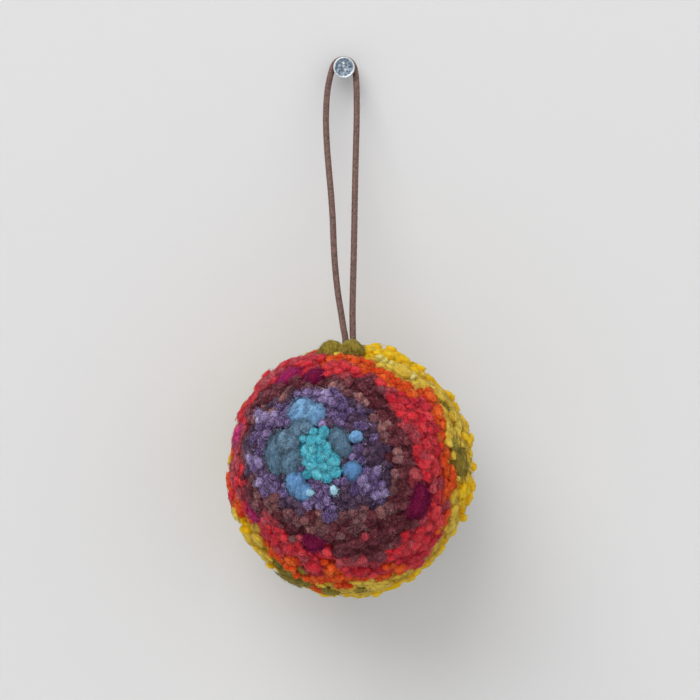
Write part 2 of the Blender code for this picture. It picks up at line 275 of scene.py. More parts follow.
# Smaller tufts among the ends, in the same measures
Tuft = namedtuple("Tuft", "yarn across up wide tall tone")
TUFTS = tuple(Tuft(*row) for row in (
    ("red", 16.0, 21.3, 5.5, 3.4, 0.4), ("red", 22.8, 19.6, 6.6, 4.9, 0.3),
    ("red", 18.8, 16.6, 5.5, 4.3, 0.6), ("red", 24.3, 12.5, 3.8, 5.5, 0.3),
    ("red", 23.8, 7.2, 5.0, 5.0, 0.7), ("red", 26.6, 5.8, 3.4, 4.0, 0.0),
    ("red", 26.2, 0.6, 4.2, 6.6, 0.9), ("rose", 27.6, -4.6, 3.2, 4.6, 0.4),
    ("red", 27.0, -8.2, 3.6, 6.0, 0.8), ("rose", 29.6, -10.9, 3.4, 4.8, 0.5),
    ("red", 24.6, -17.6, 3.8, 6.0, 1.0), ("red", 27.4, -21.0, 4.8, 4.3, 0.4),
    ("red", 23.4, -26.2, 5.0, 4.3, 0.7), ("red", 18.2, -27.8, 5.5, 3.7, 0.4),
    ("red", 12.1, -27.0, 4.9, 3.2, 0.5), ("red", 10.2, -31.0, 6.0, 3.2, 0.6),
    ("red", 3.2, -31.4, 6.0, 4.0, 0.4), ("red", -12.4, 34.4, 5.6, 3.2, 0.4),
    ("orange", 0.2, 33.6, 5.6, 2.4, 0.7), ("orange", 5.6, 33.0, 4.4, 3.0, 0.5),
    ("rose", -17.2, 32.6, 6.0, 3.0, 0.9), ("rose", -23.3, 29.0, 4.4, 3.2, 0.9),
    ("red", -27.0, 26.8, 3.8, 2.8, 0.9), ("rose", -33.5, -7.6, 4.4, 3.8, 0.0),
    ("rose", -26.7, -15.8, 3.2, 2.7, 0.8), ("rose", -23.2, -16.2, 2.8, 3.1, 0.3),
    ("red", -25.8, -19.0, 3.8, 3.3, 0.3), ("rose", -22.4, -24.4, 2.8, 2.3, 1.0),
    ("orange", -35.4, -11.6, 3.2, 5.0, 0.9), ("orange", -26.0, -22.6, 2.9, 2.8, 0.5),
    ("orange", -24.6, -25.8, 2.8, 2.5, 0.7), ("orange", 29.6, 5.2, 4.0, 4.2, 0.8),
    ("orange", 29.8, -0.3, 3.0, 4.9, 0.7), ("orange", 27.2, 9.8, 2.4, 3.2, 0.8),
    ("orange", 28.0, 13.8, 2.7, 3.2, 0.9), ("orange", 32.2, -4.9, 3.6, 3.2, 0.5),
    ("orange", 29.6, -16.5, 2.8, 3.0, 0.8), ("tan", -28.8, -7.9, 3.4, 2.8, 0.1),
    ("tan", -23.3, -11.6, 2.6, 2.5, 0.2), ("tan", -14.2, -15.5, 3.2, 2.8, 0.25),
    ("tan", -12.1, -18.4, 3.7, 2.8, 0.2), ("tan", -17.8, -21.2, 3.4, 2.2, 0.1),
))
TUFT_PROUD = 0.1
TUFT_CROWN_SHARE = 0.24         # of its size, how high its rounded part is
PATCHES += tuple(
    Patch(tuft.yarn, tuft.across, tuft.up, tuft.wide, tuft.tall, 0, TUFT_PROUD,
          TUFT_CROWN_SHARE * math.sqrt(tuft.wide * tuft.tall), tuft.tone)
    for tuft in TUFTS
)
# Fine ends that stand together in a mound
MOUNDS = tuple(Patch(*row, crown=0, tone=0.5) for row in (
    ("maroon", 4.6, 25.8, 9.0, 8.6, 0, 0.6),
    ("maroon", 8.6, 20.6, 6.0, 7.0, 0, 0.4),
    ("maroon", -24.1, 24.0, 9.0, 8.0, 45, 0.5),
    ("maroon", 16.8, 7.2, 5.5, 8.0, 20, 0.4),
    ("maroon", 16.0, -14.5, 7.0, 9.5, -25, 0.5),
    ("maroon", -0.3, -24.0, 10.0, 9.0, 0, 0.5),
    ("red", 16.0, 21.6, 10.0, 8.0, -30, 1.2),
    ("red", 22.0, 16.0, 8.0, 7.0, -40, 0.9),
    ("red", -3.4, 30.2, 10.0, 4.8, 0, 1.0),
))

# ================================================================ the ball's form
SEED = 14                       # of the ends, the fibres and every bump
TUFT_SEED = 5                   # of the tufts' edges
STRAY_SEED = 7                  # of the edges of the strays
UNDER_TRIM = 1.1 * MM           # from the tallest ends down to the middling ones
# Bulges and hollows of the outline: turn and width in degrees, height in millimetres
Bulge = namedtuple("Bulge", "turn wide high")
BULGES = tuple(Bulge(*row) for row in (
    (4, 9, -1.0), (48, 6, -0.6), (68, 10, 0.9), (82, 5, -1.1), (110, 9, -0.9), (129, 9, 0.4),
    (148, 4, 0.4), (172, 11, -0.9), (200, 4, 0.5), (206, 4, -0.9), (222, 10, -0.7), (240, 4, 0.6),
    (190, 5, -0.4), (290, 4, -0.6), (308, 8, -0.3), (324, 9, -1.0), (340, 9, -0.6), (353, 6, -0.8),
))
CANDIDATES = 60000              # places over the ball where an end may stand
CANDIDATE_SHIFT = 0.004         # of the ball's radius, off the even places
CLOSENESS = 0.74                # of two ends' radii, how far apart their middles keep
PIT_RADIUS = 2.6 * MM           # where the cord goes in
PIT_CLEARANCE = 0.7             # of an end's radius, kept clear of the pit
PACKED_DEPTH = 2.6 * MM         # under the trim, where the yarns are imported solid
PACKED_RINGS, PACKED_SIDES = 60, 96
# The packed yarn's painted light, 0 to 1, low for painted shade as it lies deep under the ends; and its
# tone
PACKED_PAINTED_LIGHT, PACKED_TONE = 0.3, 0.4
# How an end spreads, in its own radii: with room, at most and at least
END_SPREAD = 1.12
END_WIDEST = 1.4
END_NARROWEST = 0.35
NEIGHBOURS_WITHIN = 4.2
SAME_PLACE = 1e-7               # metres, under which a neighbour is the end itself
NEIGHBOUR_FACING = 0.15         # least cosine by which a neighbour holds an end in
END_EDGE = ((2, 0.1), (3, 0.05))        # waves round an end, and their swing
END_EDGE_MOST = 1.05
CROWN_CHANGE = (0.85, 1.15)     # times the usual height of its yarn's crowns
# Powers of a crown's profile: a higher first one gives a flatter top, and a lower second
# one a steeper edge
CROWN_TOP, CROWN_EDGE = 1.8, 0.75
ASKEW = 0.12                    # of an end's radius, how far its top leans
HEIGHT_LIMIT = 1.5              # of a yarn's raggedness, the most
CLUMP_LENGTH = 5.5 * MM
CLUMP_WAVES = 14
WAVE_CHANGE = (0.7, 1.4)        # times a field's usual number of bumps to a length
MIDDLE_TONE = 0.5
TONE_SPREAD = 0.2
PAINTED_LIGHT_BY_HEIGHT = 0.45           # how much lighter a clump's top is painted, for each millimetre: painted light on high clumps, painted shade in low ones
END_SIDES = 11
TUFT_SIDES = 48
TUFT_EDGE = ((3, 0.055), (5, 0.035), (8, 0.03), (13, 0.035), (19, 0.025))
TUFT_GAP = 0.5 * MM             # kept clear of ends, round a tuft
TUFT_HOLDS = 0.97               # of the way to a tuft's edge, where an end stops
TUFT_STANDS_OUT = 0.3 * MM
TUFT_BRIDGE = 0.2 * MM          # under the ends round it, where its fibres cross to them
BRIDGE_LEVEL = 0.7              # of a crown's height, where fibres cross to the next end
# A stem's rings, from its root up: share of the radius, depth under the crown's edge in
# millimetres, and light: the painted light of the wool's colour, 0 for full painted shade
# deep among the yarns and 1 on top, which also weighs the bumps on the ends
Stem = namedtuple("Stem", "share drop light")
STEM = (Stem(0.6, 4.2, 0.0), Stem(0.93, 1.0, 0.35))
# Crown rings, edge inwards: share of the radius, and painted light, low at the edge as painted shade
# between ends
Crown = namedtuple("Crown", "share light")
END_CROWN = (Crown(0.99, 0.3), Crown(0.9, 0.6), Crown(0.74, 0.9), Crown(0.5, 1.0), Crown(0.25, 1.0))
TUFT_CROWN = (Crown(1.0, 0.3), Crown(0.97, 0.5), Crown(0.91, 0.75), Crown(0.82, 0.9),
              *(Crown(share, 1.0) for share in (0.71, 0.59, 0.47, 0.35, 0.23, 0.11)))
# Bumps on the crowns: length and height in millimetres
END_LUMPS = ((1.7, 0.13), (0.8, 0.06))
TUFT_LUMPS = ((4.6, 0.16), (2.2, 0.08), (1.2, 0.05))
# How far under a dome's top, in crown heights, is the point that its bumps and its loose
# fibres head away from
BUMP_HUB = 1.6
LOOSE_HUB = 1.3
# Fibres: length over the yarn's own, thickness at the middle in millimetres, lift, and how
# sharply they curl. Lift is in millimetres over the dome for locks and fibres that lie on
# it, and an angle in degrees for loose ones. A fibre is a spindle of a root, rings of
# three points, one at each bend, and a tip
Fibre = namedtuple("Fibre", "length thick lift curl bends")
LOCK = Fibre(1.7, 0.21, (-0.03, 0.14), 1.0, 2)
LYING = Fibre(1.2, 0.09, (0.05, 0.24), 0.9, 1)
LOOSE = Fibre(1.1, 0.07, (20, 75), 0.5, 1)
RIM = Fibre(1.7, 0.13, (-0.1, 0.3), 0.7, 2)
RIM_FIBRES = 1.6                # on a tuft's square millimetre, gathered at its edge
TUFT_LOOSE = 3.0                # times as many loose fibres on a tuft
LOOSE_SHARE = 0.4               # of the fine fibres
LENGTHS = (0.6, 1.3)            # of a fibre's usual length
THICKNESSES = (0.7, 1.2)
CURL_CHANGE = 0.4               # of its curl, how much it changes from bend to bend
LYING_DEPTH = 0.04 * MM         # how deep the two ends of a fibre that lies down are
LOOSE_DEPTH = 0.05 * MM         # how deep a loose fibre's root is
ROOTED_WITHIN = 0.95            # of a dome's radius
RIM_ROOTED_FROM = 0.8           # of a tuft's radius, for the fibres at its edge
RIM_ROOTED_OVER = 0.25
LOOSE_ROOTED_WITHIN = 0.98
# How lit a fibre's root is painted: painted shade where it goes into its dome
ROOT_PAINTED_LIGHT = 0.7
# A fibre's tone is this share of its dome's, with more of its own about a middle and with
# a spread, between limits
DOME_TONE_SHARE = 0.5
FIBRE_TONE, FIBRE_TONE_SPREAD = 0.3, 0.6
FIBRE_TONE_LIMITS = (-0.6, 1.6)
BACK_FROM = 0.2                 # of a direction's +Y part, where the hidden back starts
BACK_FIBRES = 0.1


def outline_turn(directions):
    """Each direction's turn as seen from the front, and how near the outline it is, 0 to 1."""
    turn = np.degrees(np.arctan2(directions[..., 2], directions[..., 0])) % 360
    return turn, directions[..., 0] ** 2 + directions[..., 2] ** 2


def trim_radii(directions):
    """The ball's radius along each direction: its outline's, eased to a round front and back."""
    turn, near_outline = outline_turn(directions)
    outline = np.interp(turn, np.arange(13) * TRIM_STEP, (*TRIM_RADII, TRIM_RADII[0])) * MM
    return DEPTH_RADIUS + (outline - DEPTH_RADIUS) * near_outline


def trimmed_reach(directions):
    """How far the ends reach along each direction, with the outline's own bulges and hollows."""
    turn, near_outline = outline_turn(directions)
    reach = trim_radii(directions) - UNDER_TRIM
    for bulge in BULGES:
        apart = np.abs(turn - bulge.turn)
        apart = np.minimum(apart, 360 - apart)
        reach = reach + bulge.high * MM * near_outline ** 2 * np.exp(-(apart / bulge.wide) ** 2)
    return reach


def seen_direction(across, up):
    """The direction, from the ball's middle, of the ends on the ball that are seen at a place."""
    aim = BALL_CENTRE + np.array((across, 0.0, up)) * MM
    ray = unit(aim - CAMERA_PLACE)
    start = CAMERA_PLACE - BALL_CENTRE
    nearest = -start @ ray
    miss = start @ start - nearest ** 2
    reach = math.sqrt(max((DEPTH_RADIUS - UNDER_TRIM) ** 2 - miss, 0.0))
    return unit(start + ray * (nearest - reach))


def side_ways(directions):
    """For each direction, two directions across it: level to the right, and upwards."""
    level = np.stack((-directions[..., 1], directions[..., 0], np.zeros(directions.shape[:-1])), -1)
    level = unit(level + np.array((TINY, 0.0, 0.0)))
    return level, np.cross(level, directions) * -1


PATTERN_MIDDLE = seen_direction(*PATTERN_MIDDLE_SEEN)


def turn_and_out(directions):
    """Each direction's turn about the pattern's middle, and its angle out from it, in degrees."""
    right, above = side_ways(PATTERN_MIDDLE)
    out = np.degrees(np.arccos(np.clip(directions @ PATTERN_MIDDLE, -1, 1)))
    turn = np.degrees(np.arctan2(directions @ above, directions @ right)) % 360
    return turn, out


def waves(points, length, rng, count=9):
    """A smooth uneven field, about -1 to 1, whose bumps lie a length apart."""
    field = np.zeros(points.shape[:-1])
    for _ in range(count):
        heading = unit(rng.normal(size=3)) * (math.tau / length) * rng.uniform(*WAVE_CHANGE)
        field += np.sin(points @ heading + rng.uniform(0, math.tau))
    return field / math.sqrt(count)


def band_yarns(directions, rng):
    """The yarn that lies at each direction, by the rings and what is mixed into them."""
    turn, out = turn_and_out(directions)
    out = out + waves(directions, RING_WAVE, rng) * RING_WOBBLE
    turns = [*(ring.turn for ring in RINGS), 360]
    names = list(Ring._fields[1:])
    rows = [[getattr(ring, name) for ring in (*RINGS, RINGS[0])] for name in names]
    edges = [np.interp(turn, turns, row) for row in rows]
    names += [name for name, _ in BACK_BANDS]
    edges += [np.full(len(out), edge) for _, edge in BACK_BANDS]
    bands = np.argmax(out[:, None] < np.stack(edges, -1), axis=1)
    yarns = []
    for band, chance in zip(bands, rng.random(len(out))):
        other, share = MIXED_IN.get(names[band], ("", 0))
        yarns.append(other if chance < share else names[band])
    stray_rng = np.random.default_rng(STRAY_SEED)
    turn = turn + waves(directions, STRAY_WAVE, stray_rng) * STRAY_WOBBLE
    out = out + waves(directions, STRAY_WAVE, stray_rng) * STRAY_WOBBLE
    for stray in STRAYS:
        inside = (turn > stray.turn_from) & (turn < stray.turn_to)
        inside &= (out > stray.out_from) & (out < stray.out_to)
        for i in np.flatnonzero(inside):
            yarns[i] = stray.yarn
    return yarns


# middle, right and above are directions; side holds each dome's radius at even turns
# about its middle; reach is how far its top is from the ball's middle, crown the height
# of its rounded part, bridge the height where fibres cross to its neighbours, and askew
# how far the rounded part leans
Domes = namedtuple("Domes", "yarns middle right above side reach crown bridge askew tone")


def of_yarns(names, field):
    """A value of the yarn of every end."""
    return np.array([getattr(YARNS[name], field) for name in names])


def place_tufts(patches, rng):
    """Wide patches, each with an uneven edge."""
    given = Patch(*(np.array(column) for column in zip(*patches)))
    middle = np.array([seen_direction(patch.across, patch.up) for patch in patches])
    level, above = side_ways(middle)
    lean = np.radians(given.lean)[:, None]
    right = level * np.cos(lean) + above * np.sin(lean)
    above = above * np.cos(lean) - level * np.sin(lean)
    turns = even_turns(TUFT_SIDES)
    wide, tall = (size[:, None] * MM / 2 for size in (given.wide, given.tall))
    side = wide * tall / np.sqrt((tall * np.cos(turns)) ** 2 + (wide * np.sin(turns)) ** 2)
    for beat, swing in TUFT_EDGE:
        side = side * (1 + swing * np.sin(beat * turns + rng.uniform(0, math.tau, (len(patches), 1))))
    proud, crown = given.proud * MM, given.crown * MM
    reach = trimmed_reach(middle) + proud + TUFT_STANDS_OUT
    upright = np.zeros((len(patches), 2))
    return Domes(list(given.yarn), middle, right, above, side, reach, crown,
                 crown - proud - TUFT_BRIDGE, upright, given.tone)


def side_at(domes, which, turn):
    """The radius of the chosen domes at a turn about their middles."""
    sides = domes.side.shape[1]
    place = (turn / math.tau) % 1 * sides
    before = place.astype(int) % sides
    part = place - np.floor(place)
    return domes.side[which, before] * (1 - part) + domes.side[which, (before + 1) % sides] * part


def share_of_tufts(spots, tufts):
    """How far out over each tuft every spot is: 0 at its middle, 1 at its edge."""
    shares = np.full((len(spots), len(tufts.middle)), np.inf)
    for i, middle in enumerate(tufts.middle):
        near = spots @ middle > 0
        across = spots[near] @ tufts.right[i] * DEPTH_RADIUS
        along = spots[near] @ tufts.above[i] * DEPTH_RADIUS
        shares[near, i] = np.hypot(across, along) / side_at(tufts, i, np.arctan2(along, across))
    return shares


def place_ends(tufts, mounds, rng):
    """Cut ends all over the ball, as close together as their sizes let them be."""
    # Even places along a spiral from pole to pole, in a random order and a little shifted
    count = np.arange(CANDIDATES) + 0.5
    height = 1 - 2 * count / CANDIDATES
    turn = count * math.pi * (1 + math.sqrt(5))
    flat = np.sqrt(1 - height ** 2)
    spots = np.stack((flat * np.cos(turn), flat * np.sin(turn), height), -1)
    shift = rng.permutation(CANDIDATES), rng.normal(size=(CANDIDATES, 3)) * CANDIDATE_SHIFT
    spots = unit(spots[shift[0]] + shift[1])
    yarns = band_yarns(spots, rng)
    for spot, mound in np.argwhere(share_of_tufts(spots, mounds) < 1):
        yarns[spot] = mounds.yarns[mound]
    sizes = of_yarns(yarns, "end") * END_SPREAD * MM
    sizes = sizes * (1 + of_yarns(yarns, "uneven") * rng.uniform(-1, 1, CANDIDATES))
    free = np.all(share_of_tufts(spots, tufts) > 1 + TUFT_GAP / tufts.side.mean(axis=1), axis=1)
    from_pit = np.arccos(np.clip(spots @ HANG_AXIS, -1, 1)) * DEPTH_RADIUS
    free &= from_pit > PIT_RADIUS + sizes * PIT_CLEARANCE
    kept = []
    places, radii = np.zeros((0, 3)), np.zeros(0)
    for i in np.flatnonzero(free):
        apart = np.linalg.norm(places - spots[i], axis=1) * DEPTH_RADIUS
        if np.any(apart < (radii + sizes[i]) * CLOSENESS):
            continue
        kept.append(i)
        places = np.vstack((places, spots[i]))
        radii = np.append(radii, sizes[i])
    return places, radii, [yarns[i] for i in kept], kept


def squeeze(places, radii, tufts):
    """Each end's radius at even turns about its middle, where its neighbours let it spread."""
    right, above = side_ways(places)
    turns, edge_turns = even_turns(END_SIDES), even_turns(TUFT_SIDES)
    rims = (tufts.middle[:, None] * DEPTH_RADIUS
            + tufts.right[:, None] * (tufts.side * np.cos(edge_turns))[..., None]
            + tufts.above[:, None] * (tufts.side * np.sin(edge_turns))[..., None])
    others = np.vstack((places, unit(rims.reshape(-1, 3))))
    weights = np.concatenate((radii, np.zeros(len(others) - len(places))))
    side = np.repeat(radii[:, None] * END_WIDEST, END_SIDES, 1)
    for i, place in enumerate(places):
        offset = (others - place) * DEPTH_RADIUS
        apart = np.linalg.norm(offset, axis=1)
        near = np.flatnonzero((apart < radii[i] * NEIGHBOURS_WITHIN) & (apart > SAME_PLACE))
        gap = apart[near]
        heading = np.arctan2(offset[near] @ above[i], offset[near] @ right[i])
        # How far off it meets each neighbour, by their two sizes, or stops short of a tuft
        meet = (gap ** 2 + radii[i] ** 2 - weights[near] ** 2) / (2 * gap)
        meet = np.where(weights[near] > 0, meet, gap * TUFT_HOLDS)
        facing = np.maximum(np.cos(turns[:, None] - heading[None, :]), NEIGHBOUR_FACING)
        side[i] = np.minimum(side[i], (meet[None, :] / facing).min(axis=1))
    side = np.maximum(side, radii[:, None] * END_NARROWEST)
    return (np.roll(side, 1, 1) + 2 * side + np.roll(side, -1, 1)) / 4


def shape_ends(tufts, mounds, rng):
    """The cut ends, from draws made for every candidate, so that a moved tuft changes few of them."""
    places, radii, yarns, kept = place_ends(tufts, mounds, rng)
    side = squeeze(places, radii, tufts)
    right, above = side_ways(places)
    wavy = 1
    for beat, swing in END_EDGE:
        start = rng.uniform(0, math.tau, (CANDIDATES, 1))[kept]
        wavy = wavy + swing * np.sin(beat * even_turns(END_SIDES) + start)
    side = side * np.clip(wavy, 0, END_EDGE_MOST)
    crown = side.mean(axis=1) * of_yarns(yarns, "dome") * rng.uniform(*CROWN_CHANGE, CANDIDATES)[kept]
    clumps = waves(places * DEPTH_RADIUS, CLUMP_LENGTH, rng, CLUMP_WAVES)
    clumps = clumps * (of_yarns(yarns, "clump") * MM)
    height = np.clip(rng.normal(0, 1, CANDIDATES), -HEIGHT_LIMIT, HEIGHT_LIMIT)[kept]
    height = height * (of_yarns(yarns, "ragged") * MM)
    reach = trimmed_reach(places) + of_yarns(yarns, "proud") * MM + height + clumps
    for mound, share in zip(MOUNDS, share_of_tufts(places, mounds).T):
        reach = reach + np.clip(1 - share ** 2, 0, 1) * mound.proud * MM
    side = side * of_yarns(yarns, "spread")[:, None]
    askew = rng.normal(0, ASKEW, (CANDIDATES, 2))[kept] * side.mean(axis=1)[:, None]
    # A clump's tone: painted light on its high ends and painted shade on its low ones
    tone = rng.normal(MIDDLE_TONE, TONE_SPREAD, CANDIDATES)[kept] + clumps / MM * PAINTED_LIGHT_BY_HEIGHT
    return Domes(yarns, places, right, above, side, reach, crown, crown * BRIDGE_LEVEL, askew,
                 np.clip(tone, 0, 1))


def crown_height(share):
    """A crown's height over its edge, 0 to 1, at a share of its radius."""
    return np.clip(1 - share ** CROWN_TOP, 0, 1) ** CROWN_EDGE


def dome_points(domes, which, share, turn, height):
    """Points of domes, at a share of their radius, a turn, and a height over the crown's edge."""
    side = side_at(domes, which, turn) * share
    lean = np.clip(height / domes.crown[which], 0, 1)
    across = side * np.cos(turn) + lean * domes.askew[which, 0]
    along = side * np.sin(turn) + lean * domes.askew[which, 1]
    heading = unit(domes.middle[which] * DEPTH_RADIUS + domes.right[which] * across[..., None]
                   + domes.above[which] * along[..., None])
    return heading * (domes.reach[which] - domes.crown[which] + height)[..., None]


# ================================================================ meshes
def make_mesh(name, points, faces, materials, slots=None, **values):
    """A smooth mesh from arrays, with named values that its material reads at each point."""
    data = bpy.data.meshes.new(name)
    corners = np.concatenate([block.ravel() for block in faces])
    totals = np.concatenate([np.full(len(block), block.shape[1]) for block in faces])
    starts = np.concatenate(([0], np.cumsum(totals)[:-1]))
    data.vertices.add(len(points))
    data.vertices.foreach_set("co", np.asarray(points, np.float32).ravel())
    data.loops.add(len(corners))
    data.loops.foreach_set("vertex_index", corners.astype(np.int32))
    data.polygons.add(len(totals))
    data.polygons.foreach_set("loop_start", starts.astype(np.int32))
    data.polygons.foreach_set("loop_total", totals.astype(np.int32))
    if slots is not None:
        data.polygons.foreach_set("material_index", slots.astype(np.int32))
    data.update(calc_edges=True)
    data.shade_smooth()
    for key, value in values.items():
        data.attributes.new(key, "FLOAT", "POINT").data.foreach_set("value", value.astype(np.float32))
    for material in materials:
        data.materials.append(material)
    piece = bpy.data.objects.new(name, data)
    bpy.context.scene.collection.objects.link(piece)
    return piece


def ring_faces(rings, sides):
    """The quads between rings of points that follow each other."""
    ring, side = np.meshgrid(np.arange(rings - 1), np.arange(sides), indexing="ij")
    after = (side + 1) % sides
    low, high = ring * sides, (ring + 1) * sides
    return np.stack((low + side, low + after, high + after, high + side), -1).reshape(-1, 4)


def fan_faces(first, sides, tip):
    """The triangles from a ring of points, anticlockwise about its tip, up to the tip."""
    side = np.arange(sides)
    return np.stack((first + side, first + (side + 1) % sides, np.full(sides, tip)), -1)


def tube_faces(rings, sides, inside_out=False):
    """The faces of a tube of rings, closed at its start and its end by two points more."""
    last = rings * sides
    blocks = (ring_faces(rings, sides), fan_faces(0, sides, last)[:, ::-1],
              fan_faces(last - sides, sides, last + 1))
    return [block[:, ::-1] if inside_out else block for block in blocks]


def repeat_faces(block, points_each, copies):
    """The same faces for each of many copies of some points."""
    shift = np.arange(copies)[:, None, None] * points_each
    return (block[None, :, :] + shift).reshape(-1, block.shape[1])


def dome_mesh(domes, chosen, crown_rings, lumps, rng):
    """The points, faces, painted light and tone of the chosen domes, from their roots to their tips."""
    sides = domes.side.shape[1]
    turns = even_turns(sides)[None, :]
    count = len(chosen)
    rings = []
    for stem in STEM:
        drop = np.full((count, sides), -stem.drop * MM)
        rings.append(dome_points(domes, chosen[:, None], stem.share, turns, drop))
    for crown in crown_rings:
        height = np.repeat(domes.crown[chosen, None] * crown_height(crown.share), sides, 1)
        rings.append(dome_points(domes, chosen[:, None], crown.share, turns, height))
    tip = dome_points(domes, chosen[:, None], 0.0, turns[:, :1], domes.crown[chosen, None])
    points = np.concatenate((np.stack(rings, 1).reshape(count, -1, 3), tip), 1)
    # Each ring's painted light, for painted shade deep between the ends; it also weighs the bumps
    light = np.append(np.repeat([ring.light for ring in (*STEM, *crown_rings)], sides), 1.0)
    hub = domes.middle[chosen] * (domes.reach - domes.crown * BUMP_HUB)[chosen, None]
    bumps = sum(waves(points, length * MM, rng) * height * MM for length, height in lumps)
    points = points + unit(points - hub[:, None, :]) * (bumps * light)[..., None]
    body = ring_faces(len(rings), sides)
    cap = fan_faces((len(rings) - 1) * sides, sides, len(rings) * sides)
    foot = np.arange(sides)[None, ::-1]
    faces = [repeat_faces(block, points.shape[1], count) for block in (body, cap, foot)]
    tone = np.repeat(domes.tone[chosen], points.shape[1])
    return points.reshape(-1, 3), faces, np.tile(light, count), tone


def lay_fibres(domes, which, yarn, kind, rng):
    """Fibres that curl over a dome, or at its edge: the points of each, from root to tip."""
    count = len(which)
    size = domes.side[which].mean(axis=1)
    heading = rng.uniform(0, math.tau, count)
    away = np.sqrt(rng.random(count)) * ROOTED_WITHIN
    if kind is RIM:
        away = RIM_ROOTED_FROM + away * RIM_ROOTED_OVER
    turn = rng.uniform(0, math.tau, count)
    across, along = away * np.cos(turn), away * np.sin(turn)
    step = yarn.length * MM * kind.length * rng.uniform(*LENGTHS, count) / (kind.bends + 1) / size
    lift = rng.uniform(*kind.lift, count) * MM
    bend = rng.normal(0, kind.curl, count)
    path = []
    for height in (-LYING_DEPTH, *(lift,) * kind.bends, -LYING_DEPTH):
        share = np.hypot(across, along)
        rise = np.maximum(domes.crown[which] * crown_height(share), domes.bridge[which]) + height
        path.append(dome_points(domes, which, share, np.arctan2(along, across) % math.tau, rise))
        across = across + step * np.cos(heading)
        along = along + step * np.sin(heading)
        heading = heading + bend + rng.normal(0, kind.curl * CURL_CHANGE, count)
    return np.stack(path, 1)


def loose_fibres(domes, which, yarn, kind, rng):
    """Fibres that stand off a dome and curl: the points of each, from root to tip."""
    count = len(which)
    share = np.sqrt(rng.random(count)) * LOOSE_ROOTED_WITHIN
    turn = rng.uniform(0, math.tau, count)
    depth = domes.crown[which] * crown_height(share) - LOOSE_DEPTH
    roots = dome_points(domes, which, share, turn, depth)
    hub = domes.middle[which] * (domes.reach - domes.crown * LOOSE_HUB)[which, None]
    out = unit(roots - hub)
    aside = unit(np.cross(out, rng.normal(size=(count, 3))))
    lift = np.radians(rng.uniform(*kind.lift, (count, 1)))
    heading = aside * np.cos(lift) + out * np.sin(lift)
    drift = rng.normal(0, kind.curl, (count, 3))
    step = yarn.length * MM * kind.length * rng.uniform(*LENGTHS, (count, 1)) / (kind.bends + 1)
    path = [roots]
    for _ in range(kind.bends + 1):
        path.append(path[-1] + heading * step)
        heading = unit(heading + drift)
    return np.stack(path, 1)


def spindles(path, thick, rng):
    """Thin spindles along paths, three-sided at each bend: their points and faces."""
    count, places = path.shape[:2]
    level, above = (way[:, :, None, :] for way in side_ways(unit(path[:, 2:] - path[:, :-2])))
    turns = even_turns(3)[:, None]
    rings = level * np.cos(turns) + above * np.sin(turns)
    rings = rings * thick / 2 * rng.uniform(*THICKNESSES, (count, 1, 1, 1))
    rings = (path[:, 1:-1, None, :] + rings).reshape(count, -1, 3)
    points = np.concatenate((path[:, :1], rings, path[:, -1:]), 1)
    bends, each = places - 2, points.shape[1]
    blocks = [fan_faces(1, 3, 0)[:, ::-1], fan_faces(each - 4, 3, each - 1)]
    if bends > 1:
        blocks.append(ring_faces(bends, 3) + 1)
    return points, [repeat_faces(block, each, count) for block in blocks]


def grow_fibres(domes, chosen, rim, rng):
    """Wool locks and fibres on domes; a tuft's, which has some at its rim, are looser."""
    yarn = YARNS[domes.yarns[chosen[0]]]
    area = np.pi * (domes.side[chosen] ** 2).mean(axis=1) / MM ** 2
    area = area * np.where(domes.middle[chosen, 1] < BACK_FROM, 1.0, BACK_FIBRES)
    loose = yarn.fibres * LOOSE_SHARE * (TUFT_LOOSE if rim else 1)
    parts = []
    for kind, draw, number in ((LOCK, lay_fibres, yarn.locks), (RIM, lay_fibres, rim),
                               (LYING, lay_fibres, yarn.fibres * (1 - LOOSE_SHARE)),
                               (LOOSE, loose_fibres, loose)):
        which = np.repeat(chosen, rng.poisson(area * number))
        if len(which):
            path = draw(domes, which, yarn, kind, rng)
            points, faces = spindles(path, kind.thick * MM, rng)
            each = points.shape[1]
            tone = domes.tone[which] * DOME_TONE_SHARE
            tone = tone + rng.normal(FIBRE_TONE, FIBRE_TONE_SPREAD, len(which))
            tone = np.repeat(np.clip(tone, *FIBRE_TONE_LIMITS), each)
            # Painted light along each fibre, with painted shade at its root
            light = np.tile((ROOT_PAINTED_LIGHT, *(1.0,) * (each - 1)), len(which))
            parts.append((points.reshape(-1, 3), faces, light, tone))
    return parts


# ================================================================ shader nodes
def feed(tree, socket, value):
    """Link a node's output to a socket, or set the socket to a plain value."""
    if isinstance(value, bpy.types.NodeSocket):
        tree.links.new(value, socket)
    else:
        socket.default_value = value


def feed_all(tree, node, settings):
    """Feed a node's sockets, whose names have _ for each space."""
    for key, value in settings.items():
        feed(tree, node.inputs[key.replace("_", " ")], value)


def math_node(tree, operation, first, second=0.0, third=0.0, clamp=False):
    """Arithmetic on node outputs or plain values, kept within 0 to 1 if clamp is set."""
    node = tree.nodes.new("ShaderNodeMath")
    node.operation = operation
    node.use_clamp = clamp
    for socket, value in zip(node.inputs, (first, second, third)):
        feed(tree, socket, value)
    return node.outputs[0]


def scaled(tree, value, by, plus, clamp=False):
    """A value times another, and with one more added."""
    return math_node(tree, "MULTIPLY_ADD", value, by, plus, clamp)


def off_middle(tree, value):
    """A value that runs from 0 to 1, as it is over or under a half."""
    return math_node(tree, "SUBTRACT", value, 0.5)


def mix_colours(tree, part, first, second):
    """The first colour where the part is 0, and the second where it is 1."""
    node = tree.nodes.new("ShaderNodeMix")
    node.data_type = "RGBA"
    for socket, value in zip((node.inputs["Factor"], *node.inputs[6:8]), (part, first, second)):
        feed(tree, socket, value)
    return node.outputs[2]


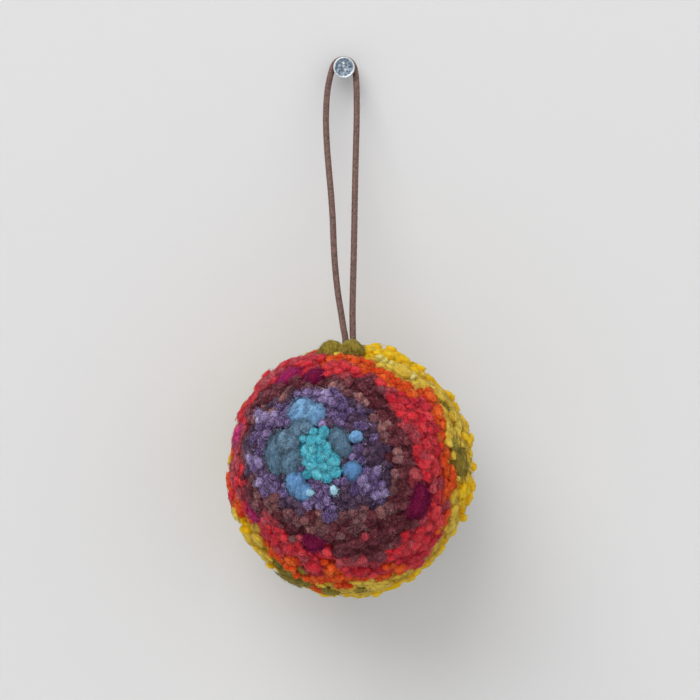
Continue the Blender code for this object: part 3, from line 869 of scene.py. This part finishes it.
def read_value(tree, name):
    """A named value that a piece's mesh holds at each of its points."""
    node = tree.nodes.new("ShaderNodeAttribute")
    node.attribute_name = name
    return node.outputs["Fac"]


def add_texture(tree, kind, **settings):
    """A texture in the place of the piece itself, 0 to 1."""
    node = tree.nodes.new(kind)
    place = tree.nodes.new("ShaderNodeTexCoord").outputs["Object"]
    feed_all(tree, node, dict(settings, Vector=place))
    return node.outputs["Fac"]


def noise(tree, length, detail=2.0, distortion=0.0):
    """Noise whose bumps lie about a length apart."""
    return add_texture(tree, "ShaderNodeTexNoise", Scale=1 / length, Detail=detail,
                       Distortion=distortion)


def curling_bands(tree, width, distortion, detail):
    """Bands of a width that curl and swirl through the wool.

    At a scale of 1, a wave texture's bands lie a twentieth of a full turn apart.
    """
    return add_texture(tree, "ShaderNodeTexWave", Scale=math.tau / 20 / width, Detail=detail,
                       Distortion=distortion, Detail_Scale=1.3)


def new_group(name, inputs, outputs):
    """A node group with named inputs and outputs: its tree, its given values and its results."""
    tree = bpy.data.node_groups.new(name, "ShaderNodeTree")
    for label, value in inputs.items():
        kind = "NodeSocketFloat" if isinstance(value, float) else "NodeSocketColor"
        tree.interface.new_socket(label, in_out="INPUT", socket_type=kind).default_value = value
    for label, kind in outputs.items():
        tree.interface.new_socket(label, in_out="OUTPUT", socket_type=kind)
    return tree, tree.nodes.new("NodeGroupInput").outputs, tree.nodes.new("NodeGroupOutput")


def make_felted_fibres():
    """Plies and fibres that curl and are pressed together, as a height, and a mask of their tops for
    painted light on them and painted shade between them.
    """
    tree, given, result = new_group("Felted fibres", {"Ply Depth": 0.6, "Fibre Depth": 0.4},
                                    {"Height": "NodeSocketFloat", "Tops": "NodeSocketFloat"})
    plies = curling_bands(tree, 0.62 * MM, distortion=14.0, detail=1.0)
    fibres = noise(tree, 0.34 * MM, distortion=1.5)
    lumps = noise(tree, 1.0 * MM, detail=3.0)
    height = scaled(tree, plies, given["Ply Depth"], lumps)
    height = scaled(tree, fibres, given["Fibre Depth"], height)
    # Painted light on the tops of fibres and plies and painted shade in their hollows, from the same
    # textures as the relief
    tops = scaled(tree, off_middle(tree, fibres), by=2.4, plus=0.5)
    tops = scaled(tree, off_middle(tree, plies), given["Ply Depth"], tops)
    feed_all(tree, result, {"Height": height, "Tops": tops})
    return tree


def make_wool_shade():
    """A dyed wool's colour: each end's own tone, mottled, with painted light and shade on the fibres'
    tops and hollows, and painted shade down between the ends.
    """
    black, grey, white = (0, 0, 0, 1), (0.5, 0.5, 0.5, 1), (1, 1, 1, 1)
    tree, given, result = new_group(
        "Wool shade", {"Dark": black, "Mid": grey, "Light": white, "Mottle": 0.5, "Tops": 0.5},
        {"Color": "NodeSocketColor"})
    mottle = off_middle(tree, noise(tree, 2.6 * MM, detail=3.0))
    level = scaled(tree, mottle, by=given["Mottle"], plus=0.5)
    level = scaled(tree, off_middle(tree, read_value(tree, "tone")), by=0.5, plus=level)
    # The fibres' tops lighter as painted light, their hollows darker as painted shade
    level = scaled(tree, off_middle(tree, given["Tops"]), by=0.9, plus=level)
    brighter = scaled(tree, level, by=2.0, plus=-1.0, clamp=True)
    darker = scaled(tree, level, by=-2.0, plus=1.0, clamp=True)
    colour = mix_colours(tree, brighter, given["Mid"], given["Light"])
    colour = mix_colours(tree, math_node(tree, "MULTIPLY", darker, 0.75), colour, given["Dark"])
    # Painted shade towards the dark colour where the painted light is low: deep between the ends, on the
    # packed yarn, at fibre roots
    down = math_node(tree, "SUBTRACT", 1.0, read_value(tree, "light"), clamp=True)
    colour = mix_colours(tree, math_node(tree, "MULTIPLY", down, 0.65), colour, given["Dark"])
    feed(tree, result.inputs["Color"], colour)
    return tree


felted_fibres = make_felted_fibres()
wool_shade = make_wool_shade()


def place_group(tree, group, **settings):
    """A shared group placed in a material with the material's own values."""
    node = tree.nodes.new("ShaderNodeGroup")
    node.node_tree = group
    feed_all(tree, node, settings)
    return node.outputs


def new_material(name, roughness, **constants):
    """A material with a plain shader, whose constants are set on its own sockets."""
    material = bpy.data.materials.new(name)
    material.use_nodes = True
    shader = material.node_tree.nodes["Principled BSDF"]
    feed_all(material.node_tree, shader, dict(constants, Roughness=roughness))
    return material, material.node_tree, shader


def raise_surface(tree, shader, height, depth):
    """Relief on a material's surface, a depth high where the height is 1."""
    bump = tree.nodes.new("ShaderNodeBump")
    feed_all(tree, bump, {"Strength": 1.0, "Distance": depth, "Height": height})
    feed(tree, shader.inputs["Normal"], bump.outputs["Normal"])


def make_wool(name, yarn):
    """A yarn's wool: matt, lit through a little, with pale fibres that catch the light."""
    material, tree, shader = new_material(
        f"{name} wool", 0.92, Sheen_Weight=0.3, Sheen_Roughness=0.5, Sheen_Tint=dyed(yarn.light),
        Specular_IOR_Level=0.1, Subsurface_Weight=0.5, Subsurface_Radius=(1.0, 1.0, 1.0),
        Subsurface_Scale=0.7 * MM)
    fibres = place_group(tree, felted_fibres, Ply_Depth=0.35, Fibre_Depth=1.6)
    shade = place_group(tree, wool_shade, Dark=dyed(yarn.dark), Mid=dyed(yarn.mid),
                        Light=dyed(yarn.light), Mottle=yarn.mottle, Tops=fibres["Tops"])
    feed(tree, shader.inputs["Base Color"], shade["Color"])
    raise_surface(tree, shader, fibres["Height"], 0.2 * MM)
    return material


# ================================================================ camera
def make_camera():
    """The camera straight in front of the wall, wide enough for the cord and the ball."""
    data = bpy.data.cameras.new("camera")
    data.sensor_width = SENSOR
    data.lens = SENSOR * (WALL_Y - CAMERA_PLACE[1]) / FRAME_WIDTH
    camera = bpy.data.objects.new("camera", data)
    camera.location = CAMERA_PLACE
    camera.rotation_euler = (math.radians(90), 0, 0)
    bpy.context.scene.collection.objects.link(camera)
    bpy.context.scene.camera = camera


# ================================================================ the cord
CORD_SIDES = 20
CORD_STEPS = 16                 # rings in each span of the route
BRAID_PITCH = 3.4 * MM          # along the cord, one turn of a strand
BRAID_STRANDS = 4               # wound each way
BRAID_RELIEF = 0.05             # of the radius, under it in the hollows
BRAID_SWELL = 1.6               # times that, from the hollows to the ridges
CUT_END_PAINTED_LIGHT = 0.5                 # how much painted light the cut ends' middles take, from the braid's hollows to its ridges
# Colours of dark specks and the painted shade in the braid's hollows, and of pale specks and the painted
# light on its ridges
CORD_DARK_SPECK_AND_SHADE, CORD_PALE_SPECK_AND_LIGHT = srgb(40, 32, 29), srgb(126, 92, 81)


def cord_depth(z):
    """Where the cord is at a height, on its straight slant from the nail to the ball's middle."""
    fall = np.minimum(z, 0.0) / BALL_CENTRE[2]
    return CORD_ON_NAIL_Y + (BALL_CENTRE[1] - CORD_ON_NAIL_Y) * fall


def cord_route():
    """The route's points, with an end on either side of the ball's axis, down in its middle."""
    seen = [np.array((x * MM, cord_depth(z * MM), z * MM)) for x, z in CORD_ROUTE_XZ]
    root = BALL_CENTRE + HANG_AXIS * CORD_ROOT
    aside = np.array((STRANDS_APART / 2, 0, 0))
    return [root - aside, *seen, root + aside]


def smooth_through(points, samples):
    """A Catmull-Rom curve through the points, read off at even steps of each span."""
    ends = [points[0] * 2 - points[1], *points, points[-1] * 2 - points[-2]]
    curve = []
    for before, start, end, after in zip(ends, ends[1:], ends[2:], ends[3:]):
        for step in range(samples):
            t = step / samples
            curve.append(0.5 * (2 * start + (end - before) * t
                                + (2 * before - 5 * start + 4 * end - after) * t ** 2
                                + (3 * start - before - 3 * end + after) * t ** 3))
    return np.array([*curve, points[-1]])


def make_cord(material):
    """Waxed cord of two sets of strands that cross, pressed nearly round."""
    path = smooth_through(cord_route(), CORD_STEPS)
    along = unit(np.gradient(path, axis=0))
    outward = unit(np.cross(along, (0.0, 1.0, 0.0)))
    front = np.cross(along, outward)
    gone = np.concatenate(([0], np.cumsum(np.linalg.norm(np.diff(path, axis=0), axis=1))))
    turns = even_turns(CORD_SIDES)
    wind = gone[:, None] / BRAID_PITCH * math.tau
    one_way = np.abs(np.sin(BRAID_STRANDS / 2 * (turns + wind)))
    other_way = np.abs(np.sin(BRAID_STRANDS / 2 * (turns - wind)))
    relief = np.maximum(one_way, other_way)
    radius = CORD_DIAMETER / 2 * (1 - BRAID_RELIEF + BRAID_SWELL * BRAID_RELIEF * relief)
    points = (path[:, None, :] + outward[:, None, :] * (radius * np.cos(turns))[..., None]
              + front[:, None, :] * (radius * np.sin(turns))[..., None]).reshape(-1, 3)
    points = np.vstack((points, path[:1], path[-1:]))
    # Painted light on the braid's ridges and painted shade in its hollows, by its relief
    ridge = np.concatenate((relief.ravel(), (CUT_END_PAINTED_LIGHT, CUT_END_PAINTED_LIGHT)))
    cord = make_mesh("waxed_cord_loop", points, tube_faces(len(path), CORD_SIDES), [material],
                     ridge=ridge)
    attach(cord, "root")
    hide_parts("hanging_cord")
    return cord


def make_waxed_cord():
    """Speckled brown, with painted light on the braid's ridges and painted shade in its hollows, and a
    waxy sheen.
    """
    material, tree, shader = new_material("waxed cord", 0.5, Specular_IOR_Level=0.4,
                                          Sheen_Weight=0.1, Sheen_Roughness=0.5)
    speckle = noise(tree, 0.6 * MM)
    specks = scaled(tree, speckle, by=2.6, plus=-1.12)
    # Painted light on the ridges and painted shade in the hollows, over the real specks
    level = scaled(tree, read_value(tree, "ridge"), by=0.6, plus=specks, clamp=True)
    colour = mix_colours(tree, level, CORD_DARK_SPECK_AND_SHADE, CORD_PALE_SPECK_AND_LIGHT)
    feed(tree, shader.inputs["Base Color"], colour)
    raise_surface(tree, shader, speckle, 0.08 * MM)
    return material


# ================================================================ the nail
NAIL_SIDES = 64
NAIL_STANDS_OUT = 8.0           # millimetres, from the wall's face to the head's front
NAIL_LENGTH = 40.0
FACE_DEPTH = 0.17               # behind the head's raised rim
MARKS_TO = 0.2                  # how far behind the front a ring still takes hammer marks
DIMPLE_DEPTH, DIMPLE_PAINTED_GLINT = 0.1, 0.3   # in the middle of the face: its depth, and a painted glint there
# Turned profile, in millimetres: distance from the axis, and place behind the head's front
Turn = namedtuple("Turn", "radius behind")
NAIL_PROFILE = (
    *(Turn(radius, FACE_DEPTH) for radius in np.linspace(0.2, 2.4, 12)),
    Turn(2.6, 0.15), Turn(2.8, 0.11),
    Turn(3.05, 0.02), Turn(3.22, 0.0), Turn(3.35, 0.08), Turn(3.41, 0.3), Turn(3.41, 0.8),
    Turn(3.34, 1.03), Turn(3.15, 1.1), Turn(2.2, 1.12), Turn(1.75, 1.2), Turn(1.6, 1.5),
    Turn(1.6, 5.0), Turn(1.6, 12.0), Turn(1.6, 24.0), Turn(1.6, 36.4), Turn(1.0, 38.4), Turn(0.25, 39.9),
)
RIM_FROM, RIM_TO = 3.0, 0.9     # the rim's painted reflection: from a radius out, to a place behind the front
# How strong the painted reflection on the rim is, 0 to 1
RIM_PAINTED_REFLECTION = 0.8
MARK_PAINTED_GLINT = 8                  # painted glint in a hammer mark, for each millimetre of its depth
ZINC_DARK, ZINC_PALE = srgb(84, 104, 124), srgb(172, 186, 198)
# The near-white of the painted reflection on the rim and the painted glints
ZINC_PAINTED_GLINT = srgb(244, 247, 247)
# Marks on the head's face: place across and up from its middle, size, and depth
Mark = namedtuple("Mark", "across up size depth")
HAMMER_MARKS = (Mark(-0.2, 1.5, 0.38, 0.12), Mark(-0.25, 0.45, 0.3, 0.1), Mark(0.35, -0.5, 0.32, 0.1),
                Mark(-1.4, 0.7, 0.5, 0.05), Mark(1.3, -0.6, 0.5, 0.05), Mark(0.2, -1.6, 0.4, 0.05))


def make_nail(material):
    """A turned nail, with hammer marks on its head, driven into the wall."""
    turns = even_turns(NAIL_SIDES)
    rings, shine = [], []
    for turn in NAIL_PROFILE:
        across, up = turn.radius * np.cos(turns), turn.radius * np.sin(turns)
        place = np.full(NAIL_SIDES, turn.behind - NAIL_STANDS_OUT)
        # Painted reflection on the rim here, and painted glints in the hammer marks below
        bright = np.full(NAIL_SIDES, RIM_PAINTED_REFLECTION * (turn.radius > RIM_FROM and turn.behind < RIM_TO))
        for mark in HAMMER_MARKS if turn.behind < MARKS_TO else ():
            away = np.hypot(across - mark.across, up - mark.up)
            dent = np.exp(-(away / mark.size) ** 2) * mark.depth
            place = place + dent
            bright = bright + dent * MARK_PAINTED_GLINT
        rings.append(np.stack((across, place, up), -1))
        shine.append(bright)
    front = (0.0, FACE_DEPTH + DIMPLE_DEPTH - NAIL_STANDS_OUT, 0.0)
    tip = (0.0, NAIL_LENGTH - NAIL_STANDS_OUT, 0.0)
    points = np.vstack((*rings, front, tip)) * MM
    faces = tube_faces(len(rings), NAIL_SIDES, inside_out=True)
    nail = make_mesh("zinc_nail", points, faces, [material],
                     shine=np.append(np.concatenate(shine), (DIMPLE_PAINTED_GLINT, 0.0)))
    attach(nail, "root")
    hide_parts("nail")


def make_zinc():
    """Zinc in a mottle of dark and pale, with a painted reflection on the head's rim and painted glints
    in its marks.
    """
    material, tree, shader = new_material("zinc", 0.34, Metallic=0.9)
    grain = noise(tree, 0.5 * MM)
    mottle = math_node(tree, "ADD", noise(tree, 1.0 * MM, distortion=0.6), grain)
    spots = scaled(tree, mottle, by=2.2, plus=-1.85, clamp=True)
    colour = mix_colours(tree, spots, ZINC_DARK, ZINC_PALE)
    # Painted reflection and glints: near-white on the rim and in the marks, where the window would show
    shine = math_node(tree, "MULTIPLY", read_value(tree, "shine"), 0.9, clamp=True)
    colour = mix_colours(tree, shine, colour, ZINC_PAINTED_GLINT)
    feed(tree, shader.inputs["Base Color"], colour)
    feed(tree, shader.inputs["Roughness"], scaled(tree, grain, by=0.3, plus=0.2))
    raise_surface(tree, shader, mottle, 0.05 * MM)
    return material


# ================================================================ the yarn ball
def make_packed_yarn(domes, materials):
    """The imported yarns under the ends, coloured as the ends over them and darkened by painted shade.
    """
    fall = np.linspace(0, math.pi, PACKED_RINGS + 2)[1:-1]
    turns = even_turns(PACKED_SIDES)
    rings = np.stack((np.outer(np.sin(fall), np.cos(turns)), np.outer(np.sin(fall), np.sin(turns)),
                      np.repeat(-np.cos(fall)[:, None], PACKED_SIDES, 1)), -1).reshape(-1, 3)
    points = np.vstack((rings, (0, 0, -1), (0, 0, 1)))
    faces = tube_faces(PACKED_RINGS, PACKED_SIDES)
    middles = np.vstack([points[block].mean(axis=1) for block in faces])
    nearest = np.argmax(unit(middles) @ domes.middle.T, axis=1)
    names = list(YARNS)
    slots = np.array([names.index(domes.yarns[i]) for i in nearest])
    points = BALL_CENTRE + points * (trim_radii(points) - PACKED_DEPTH)[:, None]
    # All of it in painted shade, as it lies deep under the ends
    ball = make_mesh("packed_yarn", points, faces, [materials[name] for name in names], slots,
                     light=np.full(len(points), PACKED_PAINTED_LIGHT),
                     tone=np.full(len(points), PACKED_TONE))
    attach(ball, "root")
    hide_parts("yarn_ball")


def add_yarn_piece(name, parts, material):
    """One piece from parts that are each points, faces, painted light and tone."""
    shift = 0
    faces = []
    for points, blocks, _, _ in parts:
        faces += [block + shift for block in blocks]
        shift += len(points)
    points = BALL_CENTRE + np.vstack([part[0] for part in parts])
    light = np.concatenate([part[2] for part in parts])
    tone = np.concatenate([part[3] for part in parts])
    piece = make_mesh(name, points, faces, [material], light=light, tone=tone)
    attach(piece, "root")
    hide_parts("yarn_ball")


def make_yarn_ball():
    """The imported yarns, then each yarn's cut ends and tufts, and its locks and fibres."""
    rng = np.random.default_rng(SEED)
    materials = {name: make_wool(name, yarn) for name, yarn in YARNS.items()}
    tufts = place_tufts(PATCHES, np.random.default_rng(TUFT_SEED))
    ends = shape_ends(tufts, place_tufts(MOUNDS, rng), rng)
    make_packed_yarn(ends, materials)
    for name, yarn in YARNS.items():
        cut, hairs = [], []
        for domes, crown, lumps, rim in ((ends, END_CROWN, END_LUMPS, 0.0),
                                         (tufts, TUFT_CROWN, TUFT_LUMPS, RIM_FIBRES)):
            chosen = np.array([i for i, other in enumerate(domes.yarns) if other == name], int)
            if len(chosen):
                cut.append(dome_mesh(domes, chosen, crown, lumps, rng))
                hairs += grow_fibres(domes, chosen, rim, rng)
        if cut:
            add_yarn_piece(f"{name}_ends", cut, materials[name])
            add_yarn_piece(f"{name}_fibres", hairs, materials[name])


# ================================================================ stage and light
# In metres: the floor's height, and from where to where it runs; the wall's top, and how
# far both reach to each side
FLOOR_LEVEL, FLOOR_NEAR, FLOOR_FAR = -0.32, -2.4, 1.6
WALL_TOP, WALL_HALF_WIDTH = 1.2, 1.6
# Lamps: place and size in metres, power in watts
Lamp = namedtuple("Lamp", "place size power")
WINDOW = Lamp((-1.5, -3.0, 2.8), 3.4, 108.0)
BOUNCE = Lamp((2.2, -2.6, 0.4), 3.0, 15.0)
SKY_COLOUR, SKY_STRENGTH = srgb(250, 250, 252), 0.63


def make_stage():
    """A plain pale wall, seen from the room's side alone, and a plain pale floor."""
    plaster, tree, shader = new_material("pale plaster", 0.9, Specular_IOR_Level=0.1,
                                         Base_Color=srgb(220, 220, 220))
    mix = tree.nodes.new("ShaderNodeMixShader")
    clear = tree.nodes.new("ShaderNodeBsdfTransparent")
    behind = tree.nodes.new("ShaderNodeNewGeometry").outputs["Backfacing"]
    for socket, value in zip(mix.inputs, (behind, shader.outputs[0], clear.outputs[0])):
        feed(tree, socket, value)
    feed(tree, tree.nodes["Material Output"].inputs["Surface"], mix.outputs[0])
    low, high, half, near, far = FLOOR_LEVEL, WALL_TOP, WALL_HALF_WIDTH, FLOOR_NEAR, FLOOR_FAR
    face = [np.array([[0, 1, 2, 3]])]
    wall = make_mesh("stage_wall", [(-half, WALL_Y, low), (half, WALL_Y, low), (half, WALL_Y, high),
                                    (-half, WALL_Y, high)], face, [plaster])
    wall.visible_shadow = False
    floor = make_mesh("stage_floor", [(-half, near, low), (half, near, low), (half, far, low),
                                      (-half, far, low)], face, [plaster])


def add_lamp(name, lamp):
    """A square lamp that faces the ball."""
    data = bpy.data.lights.new(name, "AREA")
    data.size = lamp.size
    data.energy = lamp.power
    light = bpy.data.objects.new(name, data)
    light.location = lamp.place
    heading = unit(BALL_CENTRE - np.array(lamp.place))
    light.rotation_euler = (math.acos(-heading[2]), 0, math.atan2(-heading[0], heading[1]))
    bpy.context.scene.collection.objects.link(light)


def make_light():
    """Soft daylight from all sides, more from a window at the upper left, a little from the right."""
    world = bpy.data.worlds.new("soft daylight")
    world.use_nodes = True
    sky = world.node_tree.nodes["Background"]
    feed_all(world.node_tree, sky, {"Color": SKY_COLOUR, "Strength": SKY_STRENGTH})
    bpy.context.scene.world = world
    add_lamp("window", WINDOW)
    add_lamp("bounce", BOUNCE)
    bpy.context.scene.view_settings.view_transform = "Standard"


make_camera()
make_cord(make_waxed_cord())
make_nail(make_zinc())
make_yarn_ball()
make_stage()
make_light()
